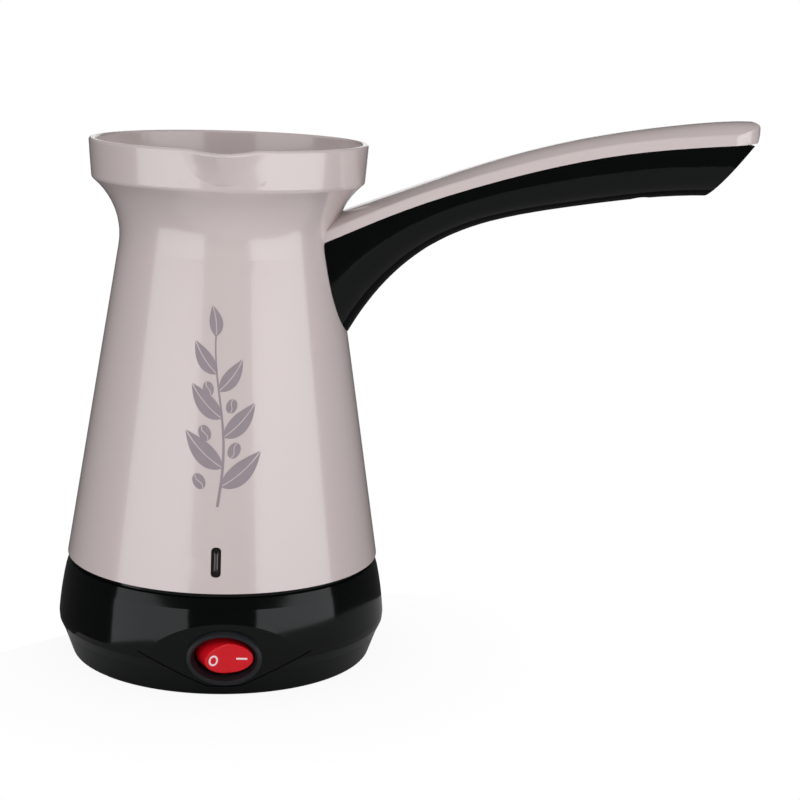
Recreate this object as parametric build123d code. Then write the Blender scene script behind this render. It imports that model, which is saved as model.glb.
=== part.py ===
from build123d import *
import os
from math import asin, cos, degrees, radians, sin, sqrt, tan

# Electric Turkish coffee pot. Millimetres. The origin is the pot's axis on the standing surface,
# +Z is up, the handle points along +X, and the switch, pilot window and pouring lip face -Y.

# ---- pot: one moulding with the strip on top of the handle ----
wall = 2.0                  # wall of the pot
base_r = 52.0               # the base's widest circle, which the pot's foot is sized to
skirt_inset = 2.7           # lower edge of the pot, inside that circle
skirt_z = 32.3
waist_r = 33.9              # end of the straight cone, where the throat's curve begins
waist_z = 130.0
collar_r = 42.2             # lower corner of the collar
collar_z = 151.0
rim_r = 43.1
rim_z = 163.0
collar_round = 1.6
rim_round = 0.7
seat_z = 51.0               # floor of the pot: top of the ring that the heating plate hangs from
seat_t = 2.0

# ---- pouring lip ----
lip_half_w = 16.0           # where the lip's flanks start inside the collar
lip_reach = 5.4             # corner of the two flanks, beyond the rim, before it is rounded
lip_slope = 30.0            # flank against the tangent of the rim
lip_round = 6.0
lip_foot_reach = 0.5        # the same at the lip's foot, where it fades into the collar
lip_foot_slope = 9.0
lip_foot_half_w = 12.0
lip_depth = 10.0            # height of the lip
lip_dip = 0.8               # how far the edge sinks at the lip
dip_r = 60.0

# ---- handle ----
# station: x, crest of the strip, seam between strip and grip, bottom of the grip, half width
handle_stations = [
    (26.0, 138.8, 132.3, 76.0, 15.7),
    (43.0, 145.0, 139.6, 112.3, 14.6),
    (58.0, 150.7, 145.7, 128.6, 13.2),
    (75.0, 156.9, 151.5, 138.1, 12.1),
    (95.0, 163.2, 157.3, 143.5, 11.3),
    (120.0, 168.9, 162.8, 147.7, 11.0),
    (145.0, 172.6, 165.9, 150.2, 11.0),
    (170.0, 173.2, 167.9, 151.4, 11.0),
]
handle_end = 164.6          # tip of the strip
strip_side = 3.2            # upright side of the strip below its crown
strip_wall = 2.2
nose_r = 11.0               # rounding of the tip in plan
nose_drop = 2.6             # height over which the tip's top edge is rounded off
nose_lean = 1.8             # how far the tip's foot stands back
grip_wall = 2.2
grip_side = 0.16            # upright share of the grip's depth
seam_gap = 0.25             # shadow gap between strip and grip
grip_end_foot = (149.9, 152.3)      # slanted end of the grip, seen from the side: x, z
grip_end_head = (161.2, 167.0)
grip_fit = 0.2              # between the grip's root and the pot
handle_fixings = [(62.0, 140.0), (128.0, 156.5)]    # x, height of the joint between the bosses
handle_boss_r = 3.4
handle_pad_r = 4.8
handle_screw_l = 7.0        # of a screw's shank inside the strip's boss
head_well_r = 3.3
pad_t = 2.0                 # of the grip, between a screw's head and the strip's boss

# ---- base housing ----
base_wall = 2.2
foot_inset = 4.5            # standing ring, inside the base's widest circle
foot_wall = 3.0             # width of the standing ring
foot_round = 1.2
shelf_inset = 1.5           # top of the inset skirt, under the ridge
shelf_z = 8.3
ridge_z = 13.0
ridge_edge = 1.8            # height of the ridge's undercut face
ridge_draft = 0.15
wall_bow = 0.25             # bulge of the upper wall
shoulder_inset = 2.1        # top of that wall, under a sloped shoulder
shoulder_z = 27.4
crown_inset = 3.1           # top edge of the housing
crown_z = 30.7
groove_depth = 1.3          # groove between housing and pot, behind the pot's lower edge
spigot_h = 3.7              # stands up inside the pot's skirt
spigot_fit = 0.35
spigot_wall = 1.6
deck_t = 2.0                # deck that the pot is screwed to
deck_bore_gap = 3.0         # bore in the deck, outside the middle of the element's tube
lobe_half_w = 26.0          # ridge dips between these, under the switch
lobe_foot_half_w = 5.0
lobe_foot_z = 3.8
lobe_round = 7.0
brow_r = 66.0               # flatter front round the switch, which makes an eye-shaped face
brow_inset = 1.3            # that face, inside the base's widest circle

# ---- base cover ----
cover_fit = 0.4
cover_t = 2.0
cover_lift = 1.5            # above the standing surface
cup_rise = 1.5              # screw cups above the cover
cover_slots = 12
cover_slot_w = 2.4
cover_slot_r = (12.0, 27.0)

# ---- switch, seen square on: x to the right, y up ----
switch_x = 3.0              # off the pot's middle, towards the handle
switch_z = 12.9             # height of its middle
seat_inset = 2.0            # flat seat in the housing, inside the base's widest circle
frame_half_w = 11.45
frame_half_h = 8.5
frame_t = 2.0
funnel_w = 1.0              # slope of the frame into its opening
funnel_depth = 2.4
frame_fit = 0.25
barrel_half_w = 10.0
barrel_half_h = 7.1
barrel_depth = 14.0
frame_floor = 1.4
panel_t = 2.2               # flat wall that the switch snaps into
snap_w = 1.8
blade_pitch = 5.5
opening_half_w = 9.0
opening_half_h = 5.85
rocker_half_w = 8.55        # at its pivot, where its sides start to draw in
rocker_half_h = 5.5
rocker_draft = 10.0
rocker_tilt = 14.0          # each way from the middle
rocker_in = 4.0             # pivot, behind the seat
rocker_valley = 1.2         # middle of the rocker's face, in front of the seat
rocker_skirt = 5.6          # foot of its sides, behind the seat
rocker_wall = 1.2
pivot_r = 1.2
pivot_fit = 0.05
plunger_r = 0.9
plunger_reach = 8.0
socket_r = 1.9
socket_depth = 5.5
spring_foot = 4.2
spring_wire = 0.16
spring_turns = 5
neon_r = 1.3
neon_l = 7.0
neon_y = 3.6
lever_gap = 0.35            # between plunger and contact lever
lever_tilt = 4.2
lever_half_l = 5.6
lever_t = 0.5
lever_w = 3.2

# ---- pilot window ----
window_z = 41.6
window_w = 2.9
window_h = 8.8
window_round = 1.2
window_fit = 0.05
lens_inset = 0.35           # lens face below the pot's surface
lens_flange = 1.0

# ---- heater ----
plate_t = 0.8
plate_land = 7.1            # between the plate's edge and the pot's wall, for the screws
plate_rim_w = 4.6           # flat rim round the plate's dome
plate_dome_rise = 2.8       # dome above the plate's rim
gasket_t = 1.2
gasket_lip = 0.8
ring_t = 1.2
ear_r = 3.2
clamp_reach = 4.4           # circle of the clamp screws, outside the plate's edge
disc_inset = 3.1            # diffuser disc, inside the plate's dome
disc_t = 2.0
element_inset = 7.5         # middle of the element's tube, inside the disc's edge
element_tube = 3.2
element_gap = 28.0          # half angle left open at the back
element_bend = 6.0
element_drop = 3.0
element_flat = 0.3          # taken off the tube's top, where it is brazed on
bead_h = 2.5
blade_l = 7.0               # flat blades of the element and the switch
blade_t = 0.8
earth_l = 8.0
stat_r = 8.2
stat_h = 11.0
stat_flange_r = 9.4
stat_flange_t = 1.5
stat_cap_h = 3.0
stat_blade_x = 5.0
stat_blade_l = 6.5
strap_half_l = 16.5
strap_w = 6.0
strap_t = 0.8
stud_x = 13.8
stud_r = 1.5
fuse_r = 2.1
fuse_l = 9.0

# ---- screws ----
screw_r = 1.5
screw_head_r = 2.8
screw_head_h = 1.7
screw_fit = 0.2             # clearance of a shank in its through hole
pilot_fit = 0.02            # thread crests against the boss's bore
boss_r = 2.9
pot_boss_reach = 4.1        # circle of the pot screws, outside the heating plate's edge
cover_boss_inset = 7.5      # circle of the cover screws, inside the standing ring
pot_screw_l = 8.0           # of each shank inside its boss
clamp_screw_l = 2.6
cover_screw_l = 7.0
bore_spare = 2.0            # of a boss's bore beyond the screw's tip
clamp_angles = [45, 135, 225, 315]
pot_angles = [60, 180, 300]
cover_angles = [0, 120, 240]

# ---- cord inlet, terminal block and leads ----
inlet_z = 14.0
bush_r = 5.0
bush_flange_r = 6.6
bush_bore = 3.4
bush_flange_t = 1.5
bush_lip_t = 1.4
bush_fit = 0.1
block_w = 19.0
block_h = 8.5
block_d = 10.0
block_inset = 13.5          # middle of the block, inside the standing ring's outside
sleeve_pitch = 5.0
sleeve_r = 1.6
lead_r = 1.0
lead_bend = 2.6
lead_tail = 3.4             # straight start of a lead at the terminal block
lead_turn = 9.6             # straight end of a lead at the switch's blades
live_aside = 14.0           # where the live lead passes the thermostat
lamp_lead_r = 0.45
lamp_lead_gap = 1.6         # between the two thin leads
lamp_r = 2.2
lamp_l = 8.0

# ---- values tied to the ones above ----
skirt_r = base_r - skirt_inset
foot_r = base_r - foot_inset
shelf_r = base_r - shelf_inset
shoulder_r = base_r - shoulder_inset
crown_r = base_r - crown_inset
groove_r = skirt_r - groove_depth
seat_y = base_r - seat_inset                            # seat of the switch, before the pot's axis
lean = (skirt_r - waist_r) / (waist_z - skirt_z)        # slope of the pot's cone
plate_rim_r = skirt_r - lean * (seat_z - skirt_z) - wall * sqrt(1 + lean ** 2) - plate_land
plate_dome_r = plate_rim_r - plate_rim_w
seat_bore = plate_dome_r + gasket_lip + 0.1
clamp_circle = plate_rim_r + clamp_reach
pot_boss_circle = plate_rim_r + pot_boss_reach
cover_boss_circle = foot_r - foot_wall - cover_boss_inset
disc_r = plate_dome_r - disc_inset
element_r = disc_r - element_inset
deck_bore = element_r + deck_bore_gap
block_y = foot_r - block_inset
grip_low = min(bottom for x, crest, seam, bottom, half_w in handle_stations)
plate_z = seat_z - seat_t - gasket_t                    # top of the heating plate's rim
clamp_z = plate_z - plate_t                             # top of the clamp ring
disc_z = plate_z + plate_dome_rise - plate_t - disc_t   # underside of the diffuser disc
strap_z = disc_z - stat_cap_h - stat_flange_t           # top of the thermostat's strap
stat_foot = disc_z - stat_h - stat_blade_l              # ends of the thermostat's blades
bend_z = disc_z - element_tube + element_flat           # middle of the element's tube
pin_z = bend_z - element_bend - element_drop            # foot of a cold pin
pin_x = element_r * sin(radians(element_gap)) - element_bend * cos(radians(element_gap))
pin_y = element_r * cos(radians(element_gap)) + element_bend * sin(radians(element_gap))
blade_foot = pin_z - bead_h - blade_l                   # ends of the element's blades
fuse_y = (stat_flange_r + element_r - element_tube) / 2 # between thermostat and element
earth_y = (plate_dome_r + plate_rim_r) / 2 + 0.6
spigot_z = skirt_z + spigot_h
strip_top = handle_stations[-1][1]
cover_seat = cover_lift + cover_t
cover_top = cover_seat + cup_rise
pad_y = base_r + 0.3                                    # flat pad round the cord inlet
pad_depth = base_wall + 0.6
block_z = crown_z - deck_t - block_h + 2.0              # height of the leads in the block
block_mouth = block_y - block_d / 2
sleeve_x = (-sleeve_pitch, 0, sleeve_pitch)
blade_at = (-blade_pitch, 0, blade_pitch)               # blades, from the switch's middle
blade_x = [switch_x + at for at in blade_at]            # the same from the pot's middle
tail_y = barrel_depth + blade_l - seat_y                # ends of the switch's blades
pivot_d = -plunger_reach - lever_gap - lever_t - 0.15   # top of the lever's fulcrum
contact_d = pivot_d - 1.0                               # top of the fixed contact

front = Plane(origin=(switch_x, -seat_y, switch_z), x_dir=(1, 0, 0), z_dir=(0, -1, 0))
pressed = front * Pos(0, 0, -rocker_in) * Rot(0, rocker_tilt, 0) * Pos(0, 0, rocker_in)


def disc(radius, bottom, top):
    return Pos(0, 0, bottom) * extrude(Circle(radius), top - bottom)


def ring(outer, inner, bottom, top):
    return Pos(0, 0, bottom) * extrude(Circle(outer) - Circle(inner), top - bottom)


def turned(points):
    """Turn a half section, given as radius and height, about the pot's axis."""
    return revolve(Plane.XZ * make_face(Polyline(*points, close=True)), axis=Axis.Z)


def around(shape, radius, angles):
    """Copies of an upright shape on a circle about the pot's axis."""
    return [Rot(0, 0, angle) * Pos(radius, 0, 0) * shape for angle in angles]


def post(x, y, radius, bottom, top):
    return Pos(x, y, 0) * disc(radius, bottom, top)


def screw(tip, seat):
    """Pan-head screw driven upwards: shank from its head's seat to the tip."""
    head = fillet(disc(screw_head_r, seat - screw_head_h, seat).edges().sort_by(Axis.Z)[0], 0.6)
    driver = Pos(0, 0, seat - screw_head_h) * extrude(Rectangle(2.8, 0.7) + Rectangle(0.7, 2.8), 0.9)
    shank = disc(screw_r, seat, tip - screw_r) + Pos(0, 0, tip - screw_r) * Cone(
        screw_r, 0.3, screw_r, align=(Align.CENTER, Align.CENTER, Align.MIN))
    return head - driver + shank


# ---------------------------------------------------------------- pot

def cone_r(z, inset=0.0):
    """Radius of the pot's cone at a height, drawn inset from its outside."""
    return skirt_r - lean * (z - skirt_z) - inset * sqrt(1 + lean * lean)


def pot_solid(inset, bottom=skirt_z, top=rim_z):
    """The pot's outside, inset by a distance, as a full solid from the skirt to the rim."""
    along = Vector(waist_r - skirt_r, waist_z - skirt_z).normalized()
    outward = Vector(along.Y, -along.X)
    chord = Vector(collar_r - waist_r, collar_z - waist_z)
    throat_r = chord.dot(chord) / (2 * chord.dot(outward))
    centre = Vector(waist_r, waist_z) + outward * throat_r
    waist = Vector(waist_r, waist_z) - outward * inset
    corner_r = collar_r - inset
    corner_z = centre.Y + sqrt((throat_r + inset) ** 2 - (centre.X - corner_r) ** 2)
    side = Line((cone_r(bottom, inset), bottom), waist)
    throat = TangentArc(waist, (corner_r, corner_z), tangent=along)
    rest = Polyline((corner_r, corner_z), (rim_r - inset, top), (0, top), (0, bottom), side @ 0)
    section = make_face(side + throat + rest)
    if inset < collar_round:
        corner = section.vertices().filter_by(lambda v: abs(v.Y - corner_z) < 0.01)
        section = fillet(corner, collar_round - inset)
    return revolve(Plane.XZ * section, axis=Axis.Z)


def lip_face(apex, half_w, slope, inset):
    """Plan of the pouring lip: two flanks that meet in a rounded nose at -Y."""
    nose = -apex + inset / cos(radians(slope))
    flank = nose + half_w * tan(radians(slope))
    plan = make_face(Polyline((0, nose), (half_w, flank), (half_w, flank + 8), (-half_w, flank + 8),
                              (-half_w, flank), close=True))
    return fillet(plan.vertices().sort_by(Axis.Y)[0], max(lip_round - inset, 1))


def lip_solid(inset):
    """Lip as a loft: full at the rim, nearly flat against the collar's wall at its foot."""
    top = lip_face(rim_r + lip_reach, lip_half_w, lip_slope, inset)
    foot = lip_face(collar_r + lip_foot_reach, lip_foot_half_w, lip_foot_slope, inset)
    top = Pos(0, 0, rim_z) * top
    foot = Pos(0, 0, rim_z - lip_depth) * foot
    return loft([foot, top])


def strip_section(station, inset, below=0.0):
    """Cross section of the handle's top strip: upright sides and a crown."""
    x, crest, seam, bottom, half_w = station
    w = half_w - inset
    shoulder = seam + strip_side - inset * 0.6
    outline = Polyline((-w, shoulder), (-w, seam - below), (w, seam - below), (w, shoulder))
    crown = ThreePointArc((w, shoulder), (0, crest - inset), (-w, shoulder))
    face = make_face(outline + crown)
    face = fillet(face.vertices().sort_by(Axis.Y)[-2:], 1.0)
    return Plane(origin=(x, 0, 0), x_dir=(0, 1, 0), z_dir=(1, 0, 0)) * face


def grip_section(station, inset, above=0.0):
    """Cross section of the grip: short upright sides and a deep elliptic bottom."""
    x, crest, seam, bottom, half_w = station
    w = half_w - inset
    top = seam - seam_gap + above
    spring = seam - seam_gap - grip_side * (seam - bottom)
    depth = spring - bottom - inset
    sides = Polyline((-w, spring), (-w, top), (w, top), (w, spring))
    belly = EllipticalCenterArc((0, spring), w, depth, start_angle=180, arc_size=180)
    return Plane(origin=(x, 0, 0), x_dir=(0, 1, 0), z_dir=(1, 0, 0)) * make_face(sides + belly)


def nose_room(inset):
    """Room that bounds the handle's tip: a round plan, and a side view with a rounded top edge."""
    end = handle_end - inset
    straight = end - nose_r
    plan = Pos(straight, 0) * Circle(nose_r) + Pos(straight / 2, 0) * Rectangle(straight, handle_end)
    crest = strip_top + 0.4 - inset
    brink = (end, crest - nose_drop)
    shoulder = (end - 2.4 * nose_drop, crest)
    knee = (end - 0.45 * nose_drop, crest - 0.28 * nose_drop)
    edge = ThreePointArc(shoulder, knee, brink)
    foot = (end - nose_lean, strip_top - 7)
    below = Polyline(brink, foot, (end - nose_lean, 0), (0, 0), (0, crest), shoulder)
    side = Plane.XZ * make_face(edge + below)
    return extrude(plan, crest) & extrude(side, handle_end / 2, both=True)


def strip_shell():
    """Top strip of the handle: a crowned channel, open below, with its screw bosses."""
    outer = loft([strip_section(s, 0) for s in handle_stations]) & nose_room(0)
    inner = loft([strip_section(s, strip_wall, 2) for s in handle_stations]) & nose_room(strip_wall)
    bosses = [post(x, 0, handle_boss_r, joint, strip_top) for x, joint in handle_fixings]
    bores = [post(x, 0, screw_r + pilot_fit, joint, joint + handle_screw_l + 1)
             for x, joint in handle_fixings]
    room = loft([strip_section(s, strip_wall / 2, handle_end / 3) for s in handle_stations])
    return outer - inner + [boss & room for boss in bosses] - bores


def seat_ring():
    """Ring moulded inside the pot: floor round the heating plate, and the screw bosses."""
    floor = disc(skirt_r, seat_z - seat_t, seat_z)
    clamp = around(disc(boss_r - 0.4, clamp_z, seat_z - seat_t), clamp_circle, clamp_angles)
    pot = around(disc(boss_r, crown_z, seat_z - seat_t), pot_boss_circle, pot_angles)
    solid = (floor + clamp + pot) & pot_solid(wall / 2)
    return solid - disc(seat_bore, 0, rim_z)


def seat_bores():
    """Pilot bores for the clamp screws and the pot screws."""
    bore = screw_r + pilot_fit
    clamp = around(disc(bore, clamp_z, clamp_z + clamp_screw_l + 0.6), clamp_circle, clamp_angles)
    pot = around(disc(bore, crown_z, crown_z + pot_screw_l + bore_spare), pot_boss_circle,
                 pot_angles)
    return clamp + pot


def window_block(width, height, corner):
    """Upright rounded block through the front of the pot, for the slot and its lens."""
    slot = RectangleRounded(width, height, corner)
    return Plane(origin=(0, -skirt_r, window_z), x_dir=(1, 0, 0), z_dir=(0, 1, 0)) * extrude(slot, 12)


def pot_body():
    solid = pot_solid(0) + lip_solid(0) + strip_shell()
    cavity = pot_solid(wall) + lip_solid(wall)
    dip = Plane.XZ * Pos(0, rim_z - lip_dip + dip_r) * extrude(Circle(dip_r), 80)
    body = solid - cavity - dip
    rim = body.edges().filter_by(lambda e: e.center().Z > rim_z - lip_dip - 0.05
                                 and e.bounding_box().max.X < rim_r + 1)
    body = fillet(rim, rim_round)
    slot = window_block(window_w + 2 * window_fit, window_h + 2 * window_fit, window_round)
    return body + seat_ring() - seat_bores() - slot


def handle_grip():
    outer = loft([grip_section(s, 0) for s in handle_stations])
    inner = loft([grip_section(s, grip_wall, 2) for s in handle_stations])
    foot, head = Vector(*grip_end_foot), Vector(*grip_end_head)
    run = (head - foot).normalized()
    low, high = foot - run * 40, head + run * 20
    side = make_face(Polyline((low.X, low.Y), (high.X, high.Y), (high.X + 60, high.Y),
                              (high.X + 60, low.Y), close=True))
    beyond = Plane.XZ * extrude(side, 30, both=True)
    outer = outer - beyond
    inner = inner - Pos(-grip_wall / run.Y, 0, 0) * beyond
    pads = [post(x, 0, handle_pad_r, grip_low, joint) & outer for x, joint in handle_fixings]
    wells = [post(x, 0, head_well_r, 0, joint - pad_t) for x, joint in handle_fixings]
    holes = [post(x, 0, screw_r + screw_fit, 0, joint) for x, joint in handle_fixings]
    return outer - inner + pads - wells - holes - pot_solid(-grip_fit)


def handle_screws():
    return [Pos(x, 0, 0) * screw(joint + handle_screw_l, joint - pad_t)
            for x, joint in handle_fixings]


# ---------------------------------------------------------------- heater

def heating_plate():
    dome, rim, top, low = plate_dome_r, plate_rim_r, plate_z + plate_dome_rise, plate_z
    return turned([(0, top), (dome - 1, top), (dome, top - 1), (dome, low), (rim, low),
                   (rim, low - plate_t), (dome - plate_t, low - plate_t),
                   (dome - plate_t, top - 1.3), (dome - 1.3, top - plate_t), (0, top - plate_t)])


def plate_gasket():
    """Silicone ring over the plate's edge, with a lip up beside the dome and one round the edge."""
    outer = plate_rim_r + gasket_lip
    return turned([(plate_dome_r, plate_z), (plate_dome_r, seat_z - 1), (seat_bore, seat_z - 1),
                   (seat_bore, plate_z + gasket_t), (outer, plate_z + gasket_t), (outer, clamp_z),
                   (plate_rim_r, clamp_z), (plate_rim_r, plate_z)])


def clamp_ring():
    """Steel ring that presses plate and gasket up, with ears for its screws and an earth tab."""
    outer = plate_rim_r + gasket_lip
    flat = ring(outer, plate_dome_r + 0.6, clamp_z - ring_t, clamp_z)
    ear = disc(ear_r, clamp_z - ring_t, clamp_z)
    reach = clamp_circle - outer + 2
    web = Pos(-reach / 2, 0, clamp_z - ring_t / 2) * Box(reach, 2 * ear_r, ring_t)
    tab = Pos(0, earth_y, clamp_z - ring_t - earth_l / 2) * Box(6.3, blade_t, earth_l)
    holes = around(disc(screw_r + screw_fit, clamp_z - ring_t, clamp_z), clamp_circle, clamp_angles)
    return flat + around(ear + web, clamp_circle, clamp_angles) - holes + tab


def clamp_screws():
    return around(screw(clamp_z + clamp_screw_l, clamp_z - ring_t), clamp_circle, clamp_angles)


def diffuser_disc():
    """Aluminium disc under the plate's dome, with two studs for the thermostat's strap."""
    studs = [post(x, 0, stud_r, strap_z - 3.4, disc_z) for x in (-stud_x, stud_x)]
    return disc(disc_r, disc_z, disc_z + disc_t) + studs


def heating_element():
    """Tubular heater: a horseshoe with a flat top, whose ends bend down as cold pins."""
    mid = bend_z
    section = Pos(element_r, mid) * Circle(element_tube)
    section = section - Pos(element_r, disc_z + element_tube) * Rectangle(
        4 * element_tube, 2 * element_tube)
    shoe = Rot(0, 0, 90 + element_gap) * revolve(Plane.XZ * section, Axis.Z, 360 - 2 * element_gap)
    legs = []
    for side in (-1, 1):
        start = Vector(side * element_r * sin(radians(element_gap)),
                       element_r * cos(radians(element_gap)), mid)
        aim = Vector(-side * cos(radians(element_gap)), sin(radians(element_gap)), 0)
        end = start + aim * element_bend - Vector(0, 0, element_bend)
        bend = TangentArc(start, end, tangent=aim)
        legs.append(sweep(Plane(origin=start, z_dir=aim) * Circle(element_tube), path=bend))
        legs.append(post(end.X, end.Y, element_tube, pin_z, end.Z))
    return shoe + legs - disc(disc_r, disc_z, seat_z)


def element_terminals():
    """Ceramic bead and flat blade under each cold pin."""
    bead = disc(element_tube - 0.4, pin_z - bead_h, pin_z)
    blade = Pos(0, 0, blade_foot + blade_l / 2) * Box(6.0, blade_t, blade_l)
    return [Pos(side * pin_x, pin_y, 0) * (bead + blade) for side in (-1, 1)]


def thermostat():
    cap = disc(stat_r, disc_z - stat_cap_h, disc_z)
    flange = disc(stat_flange_r, strap_z, disc_z - stat_cap_h)
    body = disc(stat_r, disc_z - stat_h, strap_z)
    blades = [Pos(x, 0, stat_foot + stat_blade_l / 2) * Box(blade_t, 4.8, stat_blade_l)
              for x in (-stat_blade_x, stat_blade_x)]
    return cap + flange + body + blades


def thermostat_strap():
    arms = Pos(0, 0, strap_z - strap_t / 2) * Box(2 * strap_half_l, strap_w, strap_t)
    eye = ring(stat_flange_r + 1.8, stat_r + 0.2, strap_z - strap_t, strap_z)
    holes = [post(x, 0, stud_r + screw_fit, strap_z - strap_t, strap_z) for x in (-stud_x, stud_x)]
    return arms - disc(stat_r + 0.2, 0, seat_z) + eye - holes


def strap_nuts():
    nut = extrude(RegularPolygon(2.9, 6) - Circle(stud_r + pilot_fit), 2.2)
    return [Pos(x, 0, strap_z - strap_t - 2.2) * nut for x in (-stud_x, stud_x)]


def thermal_fuse():
    along = Plane(origin=(0, -fuse_y, disc_z - fuse_r), z_dir=(1, 0, 0))
    can = extrude(Circle(fuse_r), fuse_l / 2, both=True)
    tails = extrude(Circle(0.5), fuse_l / 2 + 3, both=True)
    return along * (can + tails)


# ---------------------------------------------------------------- base

def base_housing():
    """Black base: inset skirt, ridge, bowed wall, shoulder, deck and spigot, lobe in front."""
    deck = crown_z - deck_t
    spigot_r = cone_r(spigot_z, wall) - spigot_fit
    undercut = ridge_z - ridge_edge
    middle = ((base_r + shoulder_r) / 2 + wall_bow, (ridge_z + shoulder_z) / 2)
    wall_line = ThreePointArc((base_r, ridge_z), middle, (shoulder_r, shoulder_z))
    rest = Polyline((shoulder_r, shoulder_z), (crown_r, crown_z), (groove_r, crown_z),
                    (groove_r, skirt_z), (spigot_r, skirt_z), (spigot_r, spigot_z), (0, spigot_z),
                    (0, 0), (foot_r, 0), (shelf_r, shelf_z), (base_r - ridge_draft, undercut),
                    (base_r, ridge_z))
    solid = revolve(Plane.XZ * make_face(wall_line + rest), axis=Axis.Z)
    foot = solid.edges().filter_by(lambda e: abs(e.center().Z) < 0.01)
    solid = fillet(foot, foot_round)
    turn = degrees(asin(switch_x / base_r))
    brow = Rot(0, 0, turn) * post(0, brow_inset - base_r + brow_r, brow_r, 0, spigot_z)
    solid = (solid + front_lobe()) & brow
    hollow = turned([(0, -1), (foot_r - foot_wall, -1), (foot_r - foot_wall, 0.5),
                     (shelf_r - base_wall, shelf_z), (base_r - base_wall, undercut),
                     (base_r - base_wall, ridge_z), (shoulder_r - base_wall, deck), (0, deck)])
    well = disc(spigot_r - spigot_wall, crown_z, rim_z) + disc(deck_bore, 0, rim_z)
    panel = front * Pos(0, 0, -panel_t / 2) * Box(2 * frame_half_w + 3, 2 * frame_half_h + 3, panel_t)
    pad = back_plane(pad_y) * extrude(Circle(bush_flange_r + 0.8), -pad_depth)
    shell = solid - hollow - well + (panel & solid) + pad
    shell = shell + around(disc(boss_r, cover_top, deck), cover_boss_circle, cover_angles)
    return shell - housing_cuts()


def front_lobe():
    """The ridge's dip under the switch: the upper wall carried down in a V with a round foot."""
    wall_down = disc(base_r, lobe_foot_z, ridge_z)
    vee = make_face(Polyline((-lobe_half_w, ridge_z), (-lobe_foot_half_w, lobe_foot_z),
                             (lobe_foot_half_w, lobe_foot_z), (lobe_half_w, ridge_z), close=True))
    vee = fillet(vee.vertices().sort_by(Axis.Y)[:2], lobe_round)
    return wall_down & Plane.XZ * Pos(switch_x, 0) * extrude(vee, base_r)


def back_plane(y):
    """Plane on the back of the base, square to the cord inlet, facing away from the pot."""
    return Plane(origin=(0, y, inlet_z), x_dir=(-1, 0, 0), z_dir=(0, 1, 0))


def housing_cuts():
    """Seat and hole for the switch, cord inlet, and the bores for pot and cover screws."""
    seat = front * extrude(Ellipse(frame_half_w + 0.15, frame_half_h + 0.15), 10)
    hole = front * extrude(Ellipse(barrel_half_w + frame_fit, barrel_half_h + frame_fit), 10, both=True)
    inlet = back_plane(pad_y) * extrude(Circle(bush_r + bush_fit), 12, both=True)
    lip_room = back_plane(pad_y - pad_depth) * extrude(Circle(bush_r + 1), -10)
    pot = around(disc(screw_r + screw_fit, crown_z - deck_t, crown_z), pot_boss_circle, pot_angles)
    bore = disc(screw_r + pilot_fit, cover_top, cover_top + cover_screw_l + bore_spare)
    cover = around(bore, cover_boss_circle, cover_angles)
    return [seat, hole, inlet, lip_room] + pot + cover


def pot_screws():
    return around(screw(crown_z + pot_screw_l, crown_z - deck_t), pot_boss_circle, pot_angles)


def base_cover():
    """Bottom plate, recessed inside the standing ring, with air slots and screw cups."""
    flat = disc(foot_r - foot_wall - cover_fit, cover_lift, cover_lift + cover_t)
    cups = around(disc(head_well_r + 1.2, cover_lift, cover_top), cover_boss_circle, cover_angles)
    wells = around(disc(head_well_r, 0, cover_seat), cover_boss_circle, cover_angles)
    holes = around(disc(screw_r + screw_fit, 0, cover_top), cover_boss_circle, cover_angles)
    inner, outer = cover_slot_r
    slot = Pos(0, 0, cover_lift) * extrude(SlotOverall(outer - inner, cover_slot_w), cover_t)
    turns = [360 / cover_slots * (n + 0.5) for n in range(cover_slots)]
    return flat + cups - wells - holes - around(slot, (inner + outer) / 2, turns)


def cover_screws():
    return around(screw(cover_top + cover_screw_l, cover_seat), cover_boss_circle, cover_angles)


def cord_inlet_bush():
    """Rubber bush in the back wall: outer flange, waist in the wall, inner lip and a round bore."""
    flange = extrude(Circle(bush_flange_r), bush_flange_t)
    flange = fillet(flange.edges().sort_by(Axis.Z)[-1], 0.6)
    waist = extrude(Circle(bush_r), -pad_depth - bush_lip_t)
    lip = Pos(0, 0, -pad_depth) * extrude(Circle(bush_r + 0.7), -bush_lip_t)
    bore = extrude(Circle(bush_bore), 20, both=True)
    return back_plane(pad_y) * (flange + waist + lip - bore)


def terminal_block():
    top = crown_z - deck_t
    body = Pos(0, block_y, top - block_h / 2) * Box(block_w, block_d, block_h)
    body = fillet(body.edges().filter_by(Axis.Z), 1.0)
    tubes = [along_y(x, block_z, sleeve_r) for x in sleeve_x]
    wells = [post(x, block_y, 1.6, top - block_h, block_z) for x in sleeve_x]
    return body - tubes - wells


def along_y(x, z, radius, half=20):
    """Round bar along Y, centred on the terminal block."""
    return Plane(origin=(x, block_y, z), z_dir=(0, 1, 0)) * extrude(Circle(radius), half, both=True)


def block_sleeves():
    """Brass sleeves in the terminal block, each with its clamping screw."""
    made = []
    for x in sleeve_x:
        sleeve = along_y(x, block_z, sleeve_r, block_d / 2) - along_y(x, block_z, lead_r + 0.05)
        made.append(sleeve + post(x, block_y, 1.2, block_z - 1.8, block_z - lead_r - 0.05))
    return made


# ---------------------------------------------------------------- switch

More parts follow.
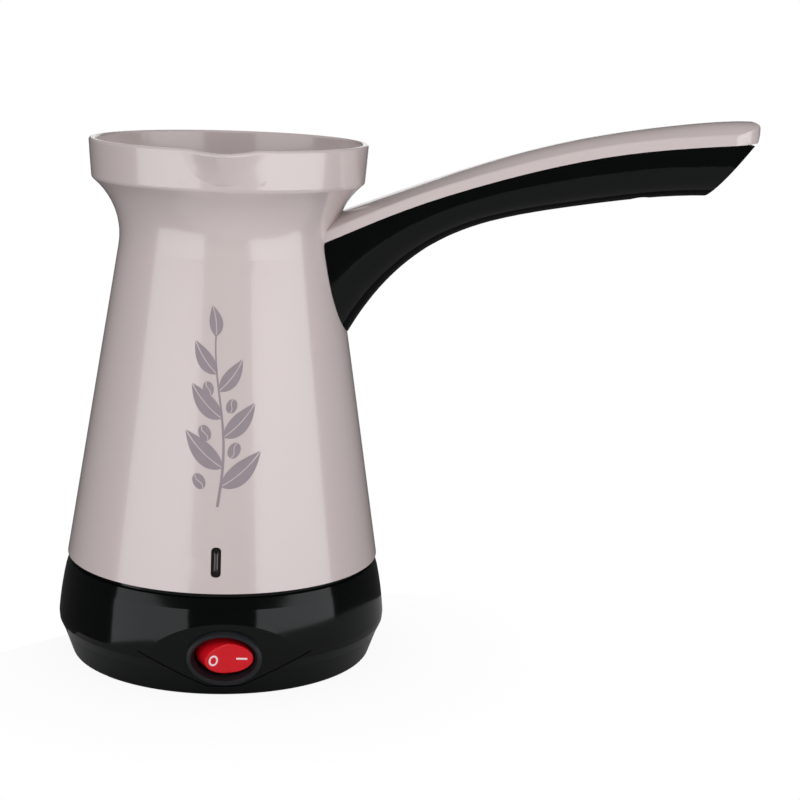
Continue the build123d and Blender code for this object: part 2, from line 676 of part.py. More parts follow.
def switch_frame():
    bezel = extrude(Ellipse(frame_half_w, frame_half_h), frame_t)
    bezel = fillet(bezel.edges().sort_by(Axis.Z)[-1], 1.2)
    barrel = extrude(Ellipse(barrel_half_w, barrel_half_h), -barrel_depth)
    mouth = Pos(0, 0, frame_t) * extrude(Ellipse(opening_half_w, opening_half_h),
                                         -frame_t - barrel_depth + frame_floor)
    wide = Ellipse(opening_half_w + funnel_w, opening_half_h + funnel_w)
    narrow = Pos(0, 0, -funnel_depth) * Ellipse(opening_half_w, opening_half_h)
    funnel = Pos(0, 0, frame_t) * loft([narrow, wide], ruled=True)
    pins = Plane.XZ * extrude(Circle(pivot_r + pivot_fit), opening_half_h + 0.95, both=True)
    wing = make_face(Polyline((0, 0), (snap_w, 0), (0, -4.2), close=True))
    wing = Plane.XZ * extrude(wing, 2.5, both=True)
    wings = [Pos(barrel_half_w - 0.8, 0, -panel_t - 0.1) * wing]
    wings.append(Rot(0, 0, 180) * wings[0])
    floor = -barrel_depth
    slots = [Pos(x, 0, floor) * Box(blade_t + 0.1, 2.5, 4 * frame_floor) for x in blade_at]
    return front * (bezel + barrel + wings - mouth - funnel - Pos(0, 0, -rocker_in) * pins - slots)


def rocker_oval(inset, z):
    """Level section of the rocker, drawn inset from its outside."""
    draw = inset + max(0, z + rocker_in) * tan(radians(rocker_draft))
    return Pos(0, 0, z) * Ellipse(rocker_half_w - draw, rocker_half_h - draw)


def rocker_blank(inset, top):
    """Oval button up to a height: an upright skirt, and above the pivot drafted sides."""
    skirt = extrude(rocker_oval(inset, -rocker_skirt), rocker_skirt - rocker_in)
    return skirt + loft([rocker_oval(inset, -rocker_in), rocker_oval(inset, top)], ruled=True)


def switch_rocker():
    """Oval rocker, drawn level and then tilted: two flat lands that meet in a shallow valley."""
    reach = rocker_half_w
    top = rocker_valley + reach * tan(radians(rocker_tilt))
    lands = Plane.XZ * extrude(make_face(Polyline(
        (0, rocker_valley), (reach, top), (reach, top + 9), (-reach, top + 9), (-reach, top),
        close=True)), 20, both=True)
    solid = rocker_blank(0, top) - lands
    solid = fillet(solid.edges().filter_by(lambda e: e.center().Z > rocker_valley - 0.1
                                           and e.length > 6), 0.45)
    inside = rocker_blank(rocker_wall, rocker_valley - 1.6)
    socket = disc(socket_r, -socket_depth, rocker_valley - 1)
    bore = disc(plunger_r + 0.3, -socket_depth, -0.4)
    pin = extrude(Circle(pivot_r), opening_half_h + 0.75, both=True)
    pins = Plane.XZ * pin - Box(30, 2 * rocker_half_h - rocker_wall, 30)
    return pressed * (solid - inside + socket + Pos(0, 0, -rocker_in) * pins - bore)


def rocker_plunger():
    tip = Pos(0, 0, -plunger_reach + plunger_r) * Sphere(plunger_r)
    rod = disc(plunger_r, -plunger_reach + plunger_r, -spring_foot)
    flange = disc(plunger_r + 0.25, -spring_foot - 0.8, -spring_foot)
    return pressed * (tip + rod + flange)


def rocker_spring():
    height = spring_foot - 0.4 - 2 * spring_wire
    coil = Helix(pitch=height / spring_turns, height=height, radius=plunger_r - 0.05)
    start = Plane(origin=coil @ 0, z_dir=coil % 0)
    wire = sweep(start * Circle(spring_wire), path=coil, is_frenet=True)
    return pressed * Pos(0, 0, -spring_foot + spring_wire) * wire


def contact_lever():
    """Rocking strip under the plunger, with a contact button on its left end."""
    under = pivot_d + 0.15
    strip = Pos(0, 0, under + lever_t / 2) * Box(2 * lever_half_l, lever_w, lever_t)
    button = post(-lever_half_l + 1, 0, 0.9, under - 0.5, under)
    level = Pos(0, 0, -pivot_d) * (strip + button)
    return front * Pos(0, 0, pivot_d) * Rot(0, -lever_tilt, 0) * level


def switch_terminals():
    """Blades through the switch's floor: contact, fulcrum and lamp blades."""
    made = []
    heads = [contact_d, pivot_d, -barrel_depth + frame_floor + 1.2]
    for x, head in zip(blade_at, heads):
        outside = Pos(x, 0, -barrel_depth - blade_l / 2) * Box(blade_t, 4.8, blade_l)
        stem_low = -barrel_depth - 1
        stem = Pos(x, 0, (stem_low + head) / 2) * Box(blade_t, 2.4, head - stem_low)
        made.append(front * (outside + stem))
    return made


def neon_lamp():
    """Glow lamp on the switch's floor, beside the lever."""
    bulb = Plane.YZ * extrude(Circle(neon_r), neon_l / 2, both=True)
    return front * Pos(0, neon_y, -barrel_depth + frame_floor + neon_r) * bulb


# ---------------------------------------------------------------- pilot window

def indicator_lens():
    """Smoked lens: a plug in the slot, a flange behind the wall and two clips for the lamp."""
    skin = pot_solid(lens_inset) - pot_solid(wall + lens_flange)
    plug = window_block(window_w, window_h, window_round - window_fit) & skin
    behind = pot_solid(wall + window_fit) - pot_solid(wall + lens_flange)
    flange = window_block(window_w + 2, window_h + 2, window_round + 1) & behind
    arm = Box(0.8, 6, 5)
    arms = [Pos(side * (lamp_r + 0.45), -lamp_y() - 1.4, window_z) * arm for side in (-1, 1)]
    room = pot_solid(wall + 0.4)
    return plug + flange + [arm & room for arm in arms]


def lamp_y():
    """Distance of the pilot lamp in front of the pot's axis: its top nearly meets the lens."""
    return cone_r(window_z + lamp_l / 2, wall + lens_flange) - lamp_r - 0.15


def pilot_lamp():
    return post(0, -lamp_y(), lamp_r, window_z - lamp_l / 2, window_z + lamp_l / 2)


# ---------------------------------------------------------------- leads

def lead(points, radius=lead_r, bend=lead_bend):
    """Insulated lead along straight runs joined by tangent arcs."""
    path = FilletPolyline(*points, radius=bend)
    start = Plane(origin=path @ 0, z_dir=path % 0)
    return sweep(start * Circle(radius), path=path)


def live_lead():
    turn_y = tail_y + lead_turn + 2
    low = (block_z + switch_z) / 2
    first = sleeve_x[0]
    return lead([(first, block_mouth, block_z), (first, block_mouth - lead_tail, block_z),
                 (-live_aside, pin_y - 2, block_z - 1.5), (-live_aside, 0, low),
                 (blade_x[0], turn_y, switch_z), (blade_x[0], tail_y, switch_z)], bend=2.2)


def switch_lead():
    turn_y = tail_y + lead_turn
    return lead([(blade_x[2], tail_y, switch_z), (blade_x[2], turn_y, switch_z),
                 (stat_blade_x, 0, block_z - 1.5), (stat_blade_x, 0, stat_foot)])


def element_lead():
    low = block_z - 2
    return lead([(-stat_blade_x, 0, stat_foot), (-stat_blade_x, 0, low), (-pin_x, pin_y, low),
                 (-pin_x, pin_y, blade_foot)])


def neutral_lead():
    return lead([(pin_x, pin_y, blade_foot), (pin_x, pin_y, block_z),
                 (sleeve_x[2], block_mouth, block_z)])


def earth_lead():
    tab_foot = clamp_z - ring_t - earth_l
    high = tab_foot - 1.8 * lead_bend
    drop_y = block_mouth - lead_turn
    return lead([(0, earth_y, tab_foot), (0, earth_y, high), (0, drop_y, high),
                 (0, drop_y, block_z), (0, block_mouth, block_z)])


def lamp_leads():
    foot = window_z - lamp_l / 2
    high = foot - 2.2 * lead_bend
    made = []
    for side, blade, rise in ((-1, blade_x[1], 1), (1, blade_x[2], 1.9)):
        x = side * lamp_r / 2
        turn_y = tail_y + lead_turn - max(side, 0) * lamp_lead_gap
        made.append(lead([(x, -lamp_y(), foot), (x, -lamp_y(), high), (blade, turn_y, high),
                          (blade, turn_y, switch_z + rise), (blade, tail_y, switch_z + rise)],
                         lamp_lead_r, 2.2))
    return made


pieces = [
    pot_body, handle_grip, handle_screws,
    heating_plate, plate_gasket, clamp_ring, clamp_screws, diffuser_disc, heating_element,
    element_terminals, thermostat, thermostat_strap, strap_nuts, thermal_fuse,
    base_housing, pot_screws, base_cover, cover_screws, cord_inlet_bush, terminal_block,
    block_sleeves, switch_frame, switch_rocker, rocker_plunger, rocker_spring, contact_lever,
    switch_terminals, neon_lamp, indicator_lens, pilot_lamp,
    live_lead, switch_lead, element_lead, neutral_lead, earth_lead, lamp_leads,
]

os.makedirs("parts", exist_ok=True)
for piece in pieces:
    made = piece()
    made = Compound(children=made) if isinstance(made, list) else made
    export_step(made, f"parts/{piece.__name__}.step")
    print(piece.__name__, "solids", len(made.solids()), "volume", round(made.volume, 1))
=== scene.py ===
from math import cos, pi, radians, sin, sqrt, tan

import bmesh
import bpy
from mathutils import Matrix, Quaternion, Vector


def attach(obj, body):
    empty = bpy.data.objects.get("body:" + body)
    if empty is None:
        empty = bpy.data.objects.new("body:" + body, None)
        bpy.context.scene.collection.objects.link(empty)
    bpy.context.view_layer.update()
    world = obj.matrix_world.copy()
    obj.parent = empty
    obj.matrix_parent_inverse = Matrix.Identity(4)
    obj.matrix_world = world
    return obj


# Electric Turkish coffee pot. Metres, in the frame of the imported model: the origin is the pot's
# axis on the standing surface, the handle points along +X, and switch and pouring lip face -Y.

# ---- camera ----
CAMERA_AT = Vector((0.02587, -0.59247, 0.20616))
CAMERA_AIM = Vector((0.048697, 0.977692, -0.204320))
CAMERA_ROLL = 2.018                 # degrees
CAMERA_LENS = 85.6                  # millimetres, as is the sensor's width
CAMERA_SENSOR = 36.0

# ---- lamps ----
SOFTBOX_AWAY = 2.50                 # from the pot's axis
SOFTBOX_TOP = 0.600                 # heights of its edges
SOFTBOX_FOOT = -1.250
SOFTBOXES = [                       # name, degrees from straight in front, width, radiance
    ("softbox_left", -49.5, 2.72, 1.27),
    ("softbox_right", 56.5, 2.94, 1.48),
]
FILLS = [                           # name, place, width, height, radiance
    ("fill_high", Vector((0.25, -1.15, 1.05)), 1.2, 1.2, 1.45),
    ("fill_low", Vector((0.10, -1.60, 0.05)), 1.6, 0.3, 2.00),
]
LAMP_TINT = (0.985, 0.990, 1.030)

# ---- room ----
ROOM_LEVEL = (0.32, 0.74)           # its light on matt surfaces, from below and from above
ROOM_SLOPE = (-0.4, 0.6)            # heights on the unit sphere between which that changes
ROOM_GLOSS = 0.045                  # its level as gloss shows it
BACKDROP_HALF = 12.0                # degrees about +Y that gloss shows as a white backdrop

# ---- floor ----
FLOOR_AT = Vector((0.09, -0.15, -0.0002))
FLOOR_R = 0.21
FLOOR_COLOUR = (0.62, 0.62, 0.62)
FLOOR_ROUGH = 0.9
FLOOR_NEAR = 0.93                   # share of plain white near the pot's axis
FLOOR_FADE = (0.05, 0.11)           # distances from that axis over which it turns to plain white
FLOOR_GLOSS = 0.55                  # share of its colour that gloss shows

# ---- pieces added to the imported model, millimetres ----
CONE_FOOT = (49.3, 32.3)            # radius and height at both ends of the pot's straight cone
CONE_HEAD = (33.9, 130.0)

PRINT_LIFT = 0.04                   # ink above the pot's gloss
STEM = (58.0, 108.5)                # heights of the printed twig's ends
STEM_HALF_W = (0.42, 0.18)          # at those ends
STEM_SWAY = 1.5
STEM_BOW = 32.0                     # height of one of its bows to a side
LEAVES = [                          # height on the twig, angle, length, half width
    (64.0, 28.0, 15.5, 3.1),
    (69.5, 150.0, 15.5, 3.1),
    (78.5, 34.0, 13.5, 2.8),
    (84.0, 146.0, 13.5, 2.8),
    (92.0, 40.0, 11.5, 2.4),
    (97.0, 138.0, 11.5, 2.4),
    (108.0, 84.0, 9.0, 2.0),
]
LEAF_BEND = 0.12                    # radians: turn of the line from a leaf's foot to its middle
LEAF_BELLY = 0.8                    # power: below 1, a leaf is widest nearer to the stem
LEAF_FULL = 0.85                    # power: below 1, its outline is fuller
BEANS = [                           # x and height of the middle, angle, half length, half width
    (4.6, 74.6, 64.0, 2.5, 1.8),
    (-4.2, 79.6, 112.0, 2.5, 1.8),
    (3.6, 87.6, 74.0, 2.2, 1.6),
    (-3.4, 92.6, 104.0, 2.2, 1.6),
    (-5.6, 65.4, 118.0, 2.5, 1.8),
]
BEAN_FOLD = 0.25                    # sway of a bean's fold, of its half width
VEIN = 0.16                         # half of the bare line along a leaf or bean

PIPE_AT = (0.0, 41.7)               # x and height of the rib on the window's lens
PIPE_HALF = (0.60, 2.95)            # its half width and half height
PIPE_EDGE = 0.36                    # its edge and crown, below the pot's surface
PIPE_CROWN = 0.10
PIPE_ENDS = 8                       # power that keeps its crown level up to the ends

BASE_R = 52.0
FACE_AXIS = (-0.88, 15.27)          # axis of the flatter face round the switch: x, y
FACE_R = 66.0
LOBE_TOP = (26.0, 13.0)             # half width and height of the V under the switch, at its top
LOBE_FOOT = (5.0, 3.8)              # the same at its foot
LOBE_SOFT = 0.48                    # squared length that rounds its foot's corners
SHADE_LINE_W = 0.36                       # width of the painted shade line along the V's edge
SHADE_LINE_UP = 0.02                    # that painted shade line above the edge, and in front of the face
SHADE_LINE_LIFT = 0.03

SWITCH_AT = Vector((3.0, -50.0, 12.9))      # middle of the switch's seat on the base
PIVOT_IN = 4.0                      # pivot of the rocker, behind that seat
ROCKER_TILT = 14.0                  # degrees, each way from the middle
LAND_VALLEY = 1.2                   # middle of the rocker's face, in front of the seat
O_AT = -4.75                        # middles of the O and the bar, from the rocker's middle
BAR_AT = 3.9
O_HALF = (1.2, 1.35)                # half width and half height of the O's line
BAR_HALF = 1.6                      # half length of the bar
MARK_LINE = 0.28                    # half width of the strokes
MARK_LIFT = 0.03                    # marks above the rocker's face

# ---- finishes: colour, roughness, metal, coat, grain size, spread of colour, bump height ----
FINISHES = {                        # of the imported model's slots
    "pot_gloss": ((0.574, 0.496, 0.482), 0.23, 0.08, 0.74, 0.0012, 0.006, 0.000001),
    "black_gloss": ((0.0018, 0.0023, 0.0020), 0.09, 0.0, 0.0, 0.0010, 0.30, 0.000002),
    "black_satin": ((0.0090, 0.0100, 0.0122), 0.38, 0.0, 0.0, 0.0004, 0.15, 0.000006),
    "rocker_red": ((0.600, 0.005, 0.012), 0.20, 0.0, 0.0, 0.0015, 0.06, 0.000002),
    "smoked_lens": ((0.0110, 0.0095, 0.0085), 0.08, 0.0, 1.0, 0.0010, 0.20, 0.000001),
    "stainless": ((0.560, 0.545, 0.525), 0.22, 1.0, 0.0, 0.0006, 0.06, 0.000004),
    "zinc_steel": ((0.520, 0.530, 0.550), 0.34, 1.0, 0.0, 0.0008, 0.12, 0.000005),
    "aluminium": ((0.700, 0.700, 0.710), 0.40, 1.0, 0.0, 0.0008, 0.08, 0.000006),
    "element_sheath": ((0.360, 0.355, 0.350), 0.45, 1.0, 0.0, 0.0010, 0.15, 0.000008),
    "silicone": ((0.620, 0.600, 0.560), 0.55, 0.0, 0.0, 0.0010, 0.05, 0.000006),
    "rubber_black": ((0.0090, 0.0090, 0.0095), 0.62, 0.0, 0.0, 0.0005, 0.25, 0.000010),
    "ceramic": ((0.780, 0.760, 0.700), 0.48, 0.0, 0.0, 0.0008, 0.04, 0.000008),
    "phenolic": ((0.0120, 0.0100, 0.0090), 0.45, 0.0, 0.0, 0.0006, 0.25, 0.000008),
    "nylon_white": ((0.760, 0.750, 0.720), 0.40, 0.0, 0.0, 0.0010, 0.04, 0.000005),
    "brass": ((0.680, 0.470, 0.200), 0.33, 1.0, 0.0, 0.0008, 0.10, 0.000005),
    "lamp_glass": ((0.800, 0.420, 0.250), 0.05, 0.0, 0.0, 0.0010, 0.05, 0.000001),
    "lead_brown": ((0.110, 0.040, 0.018), 0.40, 0.0, 0.0, 0.0008, 0.10, 0.000005),
    "lead_blue": ((0.020, 0.110, 0.420), 0.40, 0.0, 0.0, 0.0008, 0.10, 0.000005),
    "lead_green": ((0.060, 0.260, 0.040), 0.40, 0.0, 0.0, 0.0008, 0.10, 0.000005),
    "lead_white": ((0.780, 0.770, 0.740), 0.40, 0.0, 0.0, 0.0008, 0.04, 0.000005),
}
ADDED = {                           # of the pieces added here
    "print_ink": ((0.262, 0.216, 0.236), 0.42, 0.0, 0.0, 0.0005, 0.10, 0.000003),
    "mark_white": ((0.800, 0.660, 0.680), 0.35, 0.0, 0.0, 0.0004, 0.04, 0.000003),
    # painted shade: near black and barely reflecting, for the shadow along the V's edge
    "crease_painted_shade": ((0.0008, 0.0008, 0.0008), 0.60, 0.0, 0.0, 0.0010, 0.30, 0.000002),
}
SPECULAR = 0.5                      # specular level of a finish
# the painted shade strip along the V's edge barely reflects
SPECULAR_OF = {"black_gloss": 0.34, "crease_painted_shade": 0.02}       # where it is another
COAT_ROUGH = 0.03
MOTTLE_SCALE = 0.12                 # of the fine grain's scale
GLOSS_SPREAD = 0.15                 # share by which the roughness varies each way


# ---- materials ----

def add_node(tree, kind, **values):
    """A shader node with its properties and input values set by name."""
    node = tree.nodes.new(kind)
    for name, value in values.items():
        if hasattr(node, name):
            setattr(node, name, value)
        else:
            node.inputs[name.replace("_", " ")].default_value = value
    return node


def finish(name, colour, rough, metal, coat, grain, spread, bump):
    """Material of a moulded or metal finish: faint mottling, uneven gloss and a fine surface."""
    material = bpy.data.materials.new(name)
    material.use_nodes = True
    tree = material.node_tree
    link = tree.links.new
    shader = tree.nodes["Principled BSDF"]
    shader.inputs["Metallic"].default_value = metal
    shader.inputs["Coat Weight"].default_value = coat
    shader.inputs["Coat Roughness"].default_value = COAT_ROUGH
    shader.inputs["Specular IOR Level"].default_value = SPECULAR_OF.get(name, SPECULAR)
    coords = tree.nodes.new("ShaderNodeTexCoord")
    mottle = add_node(tree, "ShaderNodeTexNoise", Scale=MOTTLE_SCALE / grain, Detail=3.0)
    fine = add_node(tree, "ShaderNodeTexNoise", Scale=1.0 / grain, Detail=2.0)
    tint = tree.nodes.new("ShaderNodeMix")
    tint.data_type = "RGBA"
    tint.inputs["A"].default_value = (*[c * (1 - spread) for c in colour], 1)
    tint.inputs["B"].default_value = (*[c * (1 + spread) for c in colour], 1)
    gloss = add_node(tree, "ShaderNodeMapRange",
                     To_Min=rough * (1 - GLOSS_SPREAD), To_Max=rough * (1 + GLOSS_SPREAD))
    relief = add_node(tree, "ShaderNodeBump", Strength=1.0, Distance=bump)
    link(coords.outputs["Object"], mottle.inputs["Vector"])
    link(coords.outputs["Object"], fine.inputs["Vector"])
    link(mottle.outputs["Fac"], tint.inputs["Factor"])
    link(tint.outputs["Result"], shader.inputs["Base Color"])
    link(fine.outputs["Fac"], gloss.inputs["Value"])
    link(gloss.outputs["Result"], shader.inputs["Roughness"])
    link(fine.outputs["Fac"], relief.inputs["Height"])
    link(relief.outputs["Normal"], shader.inputs["Normal"])
    return material


def dress_nodes(nodes, finishes):
    """Give every carried-over CAD node the finish of its slot."""
    for node in nodes.values():
        for slot in node.material_slots:
            slot.material = finishes[slot.material.name.split(".")[0]]


# ---- added pieces ----

def steps(first, last, count):
    """Evenly spaced numbers from first to last, both included, with count steps between them."""
    return [first + (last - first) * n / count for n in range(count + 1)]


def add_piece(name, sheets, material, body):
    """Smooth piece made of sheets, each a grid of points in millimetres, that rides on a body."""
    bm = bmesh.new()
    for sheet in sheets:
        rows = [[bm.verts.new(point / 1000) for point in row] for row in sheet]
        for low, high in zip(rows, rows[1:]):
            for corners in zip(low, low[1:], high[1:], high):
                bm.faces.new(corners)
    bmesh.ops.remove_doubles(bm, verts=bm.verts, dist=1e-6)
    mesh = bpy.data.meshes.new(name)
    bm.to_mesh(mesh)
    bm.free()
    mesh.shade_smooth()
    mesh.materials.append(material)
    piece = bpy.data.objects.new(name, mesh)
    bpy.context.scene.collection.objects.link(piece)
    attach(piece, body)


def on_cone(x, z, lift):
    """Point on the front of the pot's cone, lifted off it."""
    slope = (CONE_FOOT[0] - CONE_HEAD[0]) / (CONE_HEAD[1] - CONE_FOOT[1])
    radius = CONE_FOOT[0] - slope * (z - CONE_FOOT[1]) + lift
    return Vector((x, -sqrt(radius * radius - x * x), z))


def band(start, angle, length, bend, left, right):
    """Printed sheet along a bent axis, between two edges given as functions of the share gone."""
    sheet = []
    for t in steps(0, 1, count=14):
        a = radians(angle) + 2 * bend * t
        x = start[0] + length * t * cos(a)
        z = start[1] + length * t * sin(a)
        edge = steps(left(t), right(t), count=3)
        sheet.append([on_cone(x + w * sin(a), z - w * cos(a), PRINT_LIFT) for w in edge])
    return sheet


def stem_x(z):
    """Sway of the twig's stem at a height."""
    return STEM_SWAY * sin(pi * (z - STEM[0]) / STEM_BOW)


def stem():
    """Stem of the twig, which thins towards its tip."""
    foot, tip = STEM_HALF_W
    sheet = []
    for z in steps(*STEM, count=40):
        w = foot + (tip - foot) * (z - STEM[0]) / (STEM[1] - STEM[0])
        sheet.append([on_cone(stem_x(z) + side * w, z, PRINT_LIFT) for side in (-1, 0, 1)])
    return sheet


def leaf(z, angle, length, half_w):
    """Both halves of a leaf that grows from the stem at a height, with a bare vein between."""
    start = (stem_x(z), z)
    bend = LEAF_BEND if angle < 90 else -LEAF_BEND

    def rim(t):
        if not 0 < t < 1:
            return VEIN
        return max(VEIN, half_w * sin(pi * t ** LEAF_BELLY) ** LEAF_FULL)

    return [band(start, angle, length, bend, lambda t: VEIN, rim),
            band(start, angle, length, bend, lambda t: -rim(t), lambda t: -VEIN)]


def bean(x, z, angle, half_l, half_w):
    """Both halves of a coffee bean, with its fold bare between them, like a flat S."""
    a = radians(angle)
    start = (x - half_l * cos(a), z - half_l * sin(a))

    def fold(t):
        return BEAN_FOLD * half_w * sin(2 * pi * t)

    def rim(t):
        return half_w * sqrt(max(0, 1 - (2 * t - 1) ** 2))

    return [band(start, angle, 2 * half_l, 0, lambda t: min(fold(t) + VEIN, rim(t)), rim),
            band(start, angle, 2 * half_l, 0,
                 lambda t: -rim(t), lambda t: max(fold(t) - VEIN, -rim(t)))]


def add_print(material):
    """Coffee twig with leaves and beans on the front of the pot."""
    sheets = [stem()]
    for values in LEAVES:
        sheets += leaf(*values)
    for values in BEANS:
        sheets += bean(*values)
    add_piece("printed_twig", sheets, material, "housing")


def add_light_pipe(material):
    """Narrow domed rib on the smoked lens, sunk in the window's slot."""
    sheet = []
    for v in steps(-1, 1, count=24):
        row = []
        for u in steps(-1, 1, count=10):
            rise = (PIPE_EDGE - PIPE_CROWN) * (1 - u * u) * (1 - v ** PIPE_ENDS)
            x = PIPE_AT[0] + PIPE_HALF[0] * u
            z = PIPE_AT[1] + PIPE_HALF[1] * v
            row.append(on_cone(x, z, rise - PIPE_EDGE))
        sheet.append(row)
    add_piece("light_pipe", [sheet], material, "housing")


def add_crease_shade(material):
    """Painted shade: a near black, barely reflecting strip along the edge of the V under the
    switch, standing in for the shadow under that edge, in front of the wall and its face.
    """
    (top, high), (foot, low) = LOBE_TOP, LOBE_FOOT
    sheet = [[], []]
    for along in steps(-top, top, count=104):
        over = abs(along) - foot
        z = low + (high - low) / (top - foot) * (over + sqrt(over * over + LOBE_SOFT)) / 2
        x = along + SWITCH_AT.x
        wall = -sqrt(BASE_R ** 2 - x * x)
        face = FACE_AXIS[1] - sqrt(FACE_R ** 2 - (x - FACE_AXIS[0]) ** 2)
        for row, up in zip(sheet, (SHADE_LINE_UP, SHADE_LINE_UP + SHADE_LINE_W)):
            row.append(Vector((x, max(wall, face) - SHADE_LINE_LIFT, z + up)))
    add_piece("lobe_painted_shade", [sheet], material, "housing")


def on_land(x, y):
    """Place of a mark on the rocker, tilted to its rest, from x and y on the level rocker."""
    a = radians(ROCKER_TILT)
    out = LAND_VALLEY + abs(x) * tan(a) + PIVOT_IN + MARK_LIFT
    across = x * cos(a) + out * sin(a)
    return SWITCH_AT + Vector((across, PIVOT_IN - out * cos(a) + x * sin(a), y))


def add_marks(material):
    """White O and bar on the two lands of the rocker."""
    ring = []
    for turn in steps(0, 2 * pi, count=40):
        ring.append([on_land(O_AT + (O_HALF[0] + w) * cos(turn), (O_HALF[1] + w) * sin(turn))
                     for w in (MARK_LINE, 0, -MARK_LINE)])
    bar = []
    for y in steps(-MARK_LINE, MARK_LINE, count=2):
        bar.append([on_land(x, y) for x in steps(BAR_AT - BAR_HALF, BAR_AT + BAR_HALF, count=6)])
    add_piece("switch_marks", [ring, bar], material, "rocker")


# ---- camera, lamps, room and floor ----

def add_camera():
    """Camera in front of the pot and above its rim, looking down at it."""
    data = bpy.data.cameras.new("camera")
    data.sensor_width = CAMERA_SENSOR
    data.lens = CAMERA_LENS
    camera = bpy.data.objects.new("camera", data)
    camera.location = CAMERA_AT
    camera.rotation_mode = "QUATERNION"
    roll = Quaternion((0, 0, 1), radians(CAMERA_ROLL))
    camera.rotation_quaternion = CAMERA_AIM.to_track_quat("-Z", "Y") @ roll
    bpy.context.scene.collection.objects.link(camera)
    bpy.context.scene.camera = camera


def add_lamp(name, at, aim, width, height, radiance):
    """Rectangular lamp of an even radiance."""
    data = bpy.data.lights.new(name, "AREA")
    data.shape = "RECTANGLE"
    data.size = width
    data.size_y = height
    data.energy = radiance * pi * width * height
    data.color = LAMP_TINT
    lamp = bpy.data.objects.new(name, data)
    lamp.location = at
    lamp.rotation_mode = "QUATERNION"
    lamp.rotation_quaternion = aim.to_track_quat("-Z", "Y")
    bpy.context.scene.collection.objects.link(lamp)
    return lamp


def add_lamps():
    """Two upright softboxes in front of the pot, whose light shows as stripes in its gloss, and
    two fills that gloss doesn't show."""
    height = SOFTBOX_TOP - SOFTBOX_FOOT
    middle = Vector((0, 0, (SOFTBOX_TOP + SOFTBOX_FOOT) / 2))
    for name, angle, width, radiance in SOFTBOXES:
        out = Vector((sin(radians(angle)), -cos(radians(angle)), 0))
        add_lamp(name, out * SOFTBOX_AWAY + middle, -out, width, height, radiance)
    for name, at, width, height, radiance in FILLS:
        add_lamp(name, at, -at, width, height, radiance).visible_glossy = False


def maths(tree, operation, a, b):
    """Output of a math node; an input is a number or another node's output."""
    node = add_node(tree, "ShaderNodeMath", operation=operation)
    for place, value in zip(node.inputs, (a, b)):
        if isinstance(value, (int, float)):
            place.default_value = value
        else:
            tree.links.new(value, place)
    return node.outputs[0]


def add_room():
    """World: white to the eye and through glass, brighter above than below on matt surfaces, and
    in gloss a white backdrop behind the pot with dark walls round it."""
    world = bpy.data.worlds.new("room")
    world.use_nodes = True
    bpy.context.scene.world = world
    tree = world.node_tree
    path = tree.nodes.new("ShaderNodeLightPath")
    ray = {name: path.outputs[f"Is {name} Ray"] for name in ("Camera", "Transmission", "Glossy")}
    towards = tree.nodes.new("ShaderNodeTexCoord")
    split = tree.nodes.new("ShaderNodeSeparateXYZ")
    tree.links.new(towards.outputs["Generated"], split.inputs[0])
    behind = maths(tree, "GREATER_THAN", split.outputs["Y"], cos(radians(BACKDROP_HALF)))
    plain = maths(tree, "MAXIMUM", ray["Camera"], ray["Transmission"])
    white = maths(tree, "MAXIMUM", plain, maths(tree, "MULTIPLY", ray["Glossy"], behind))
    rise = add_node(tree, "ShaderNodeMapRange", From_Min=ROOM_SLOPE[0], From_Max=ROOM_SLOPE[1],
                    To_Min=ROOM_LEVEL[0], To_Max=ROOM_LEVEL[1])
    tree.links.new(split.outputs["Z"], rise.inputs["Value"])
    not_gloss = maths(tree, "SUBTRACT", 1, ray["Glossy"])
    matt = maths(tree, "MULTIPLY", rise.outputs["Result"], not_gloss)
    walls = maths(tree, "MAXIMUM", matt, ROOM_GLOSS)
    level = maths(tree, "MAXIMUM", walls, white)
    back = tree.nodes["Background"]
    back.inputs["Color"].default_value = (1, 1, 1, 1)
    tree.links.new(level, back.inputs["Strength"])


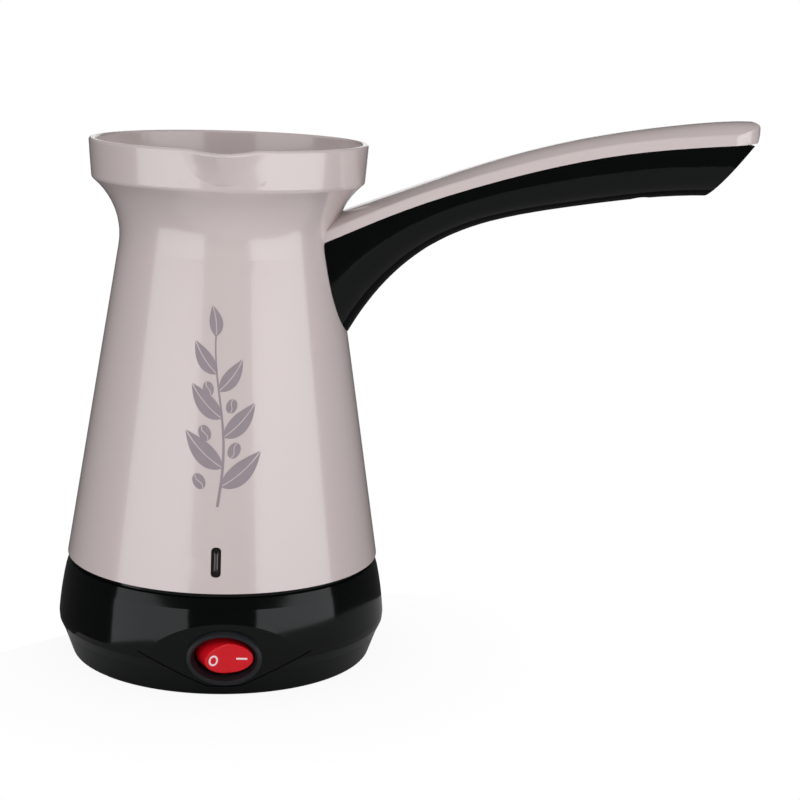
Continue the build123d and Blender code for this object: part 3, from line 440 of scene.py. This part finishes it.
def floor_material():
    """Matt pale floor, darker as gloss shows it. To the eye it is near white by the pot, with a
    faint shadow, and plain white farther away."""
    material = bpy.data.materials.new("floor")
    material.use_nodes = True
    tree = material.node_tree
    link = tree.links.new
    shader = tree.nodes["Principled BSDF"]
    shader.inputs["Roughness"].default_value = FLOOR_ROUGH
    tint = tree.nodes.new("ShaderNodeMix")
    tint.data_type = "RGBA"
    tint.inputs["A"].default_value = (*FLOOR_COLOUR, 1)
    tint.inputs["B"].default_value = (*[c * FLOOR_GLOSS for c in FLOOR_COLOUR], 1)
    coords = tree.nodes.new("ShaderNodeTexCoord")
    away = add_node(tree, "ShaderNodeVectorMath", operation="LENGTH")
    fade = add_node(tree, "ShaderNodeMapRange", From_Min=FLOOR_FADE[0], From_Max=FLOOR_FADE[1],
                    To_Min=FLOOR_NEAR, To_Max=1.0)
    path = tree.nodes.new("ShaderNodeLightPath")
    seen = maths(tree, "MAXIMUM",
                 path.outputs["Is Camera Ray"], path.outputs["Is Transmission Ray"])
    white = add_node(tree, "ShaderNodeEmission", Color=(1, 1, 1, 1), Strength=1.0)
    mix = tree.nodes.new("ShaderNodeMixShader")
    link(path.outputs["Is Glossy Ray"], tint.inputs["Factor"])
    link(tint.outputs["Result"], shader.inputs["Base Color"])
    link(coords.outputs["Object"], away.inputs[0])
    link(away.outputs["Value"], fade.inputs["Value"])
    link(maths(tree, "MULTIPLY", seen, fade.outputs["Result"]), mix.inputs["Fac"])
    link(shader.outputs[0], mix.inputs[1])
    link(white.outputs[0], mix.inputs[2])
    link(mix.outputs[0], tree.nodes["Material Output"].inputs["Surface"])
    return material


def add_floor():
    """Round table top under the pot."""
    bm = bmesh.new()
    at = Matrix.Translation(FLOOR_AT)
    bmesh.ops.create_circle(bm, cap_ends=True, segments=96, radius=FLOOR_R, matrix=at)
    mesh = bpy.data.meshes.new("floor")
    bm.to_mesh(mesh)
    bm.free()
    mesh.materials.append(floor_material())
    floor = bpy.data.objects.new("floor", mesh)
    bpy.context.scene.collection.objects.link(floor)


# ---- the scene ----

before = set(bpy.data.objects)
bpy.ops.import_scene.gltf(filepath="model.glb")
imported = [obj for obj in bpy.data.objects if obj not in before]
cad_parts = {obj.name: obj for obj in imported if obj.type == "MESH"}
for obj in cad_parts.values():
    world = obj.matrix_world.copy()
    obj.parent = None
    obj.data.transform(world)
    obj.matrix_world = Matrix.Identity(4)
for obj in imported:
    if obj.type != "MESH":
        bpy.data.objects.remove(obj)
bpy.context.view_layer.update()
bpy.context.scene.view_settings.view_transform = "Standard"
finishes = {name: finish(name, *values) for name, values in {**FINISHES, **ADDED}.items()}
dress_nodes(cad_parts, finishes)
add_print(finishes["print_ink"])
add_light_pipe(finishes["smoked_lens"])
# painted shade along the edge of the V under the switch
add_crease_shade(finishes["crease_painted_shade"])
add_marks(finishes["mark_white"])
add_camera()
add_room()
add_lamps()
add_floor()
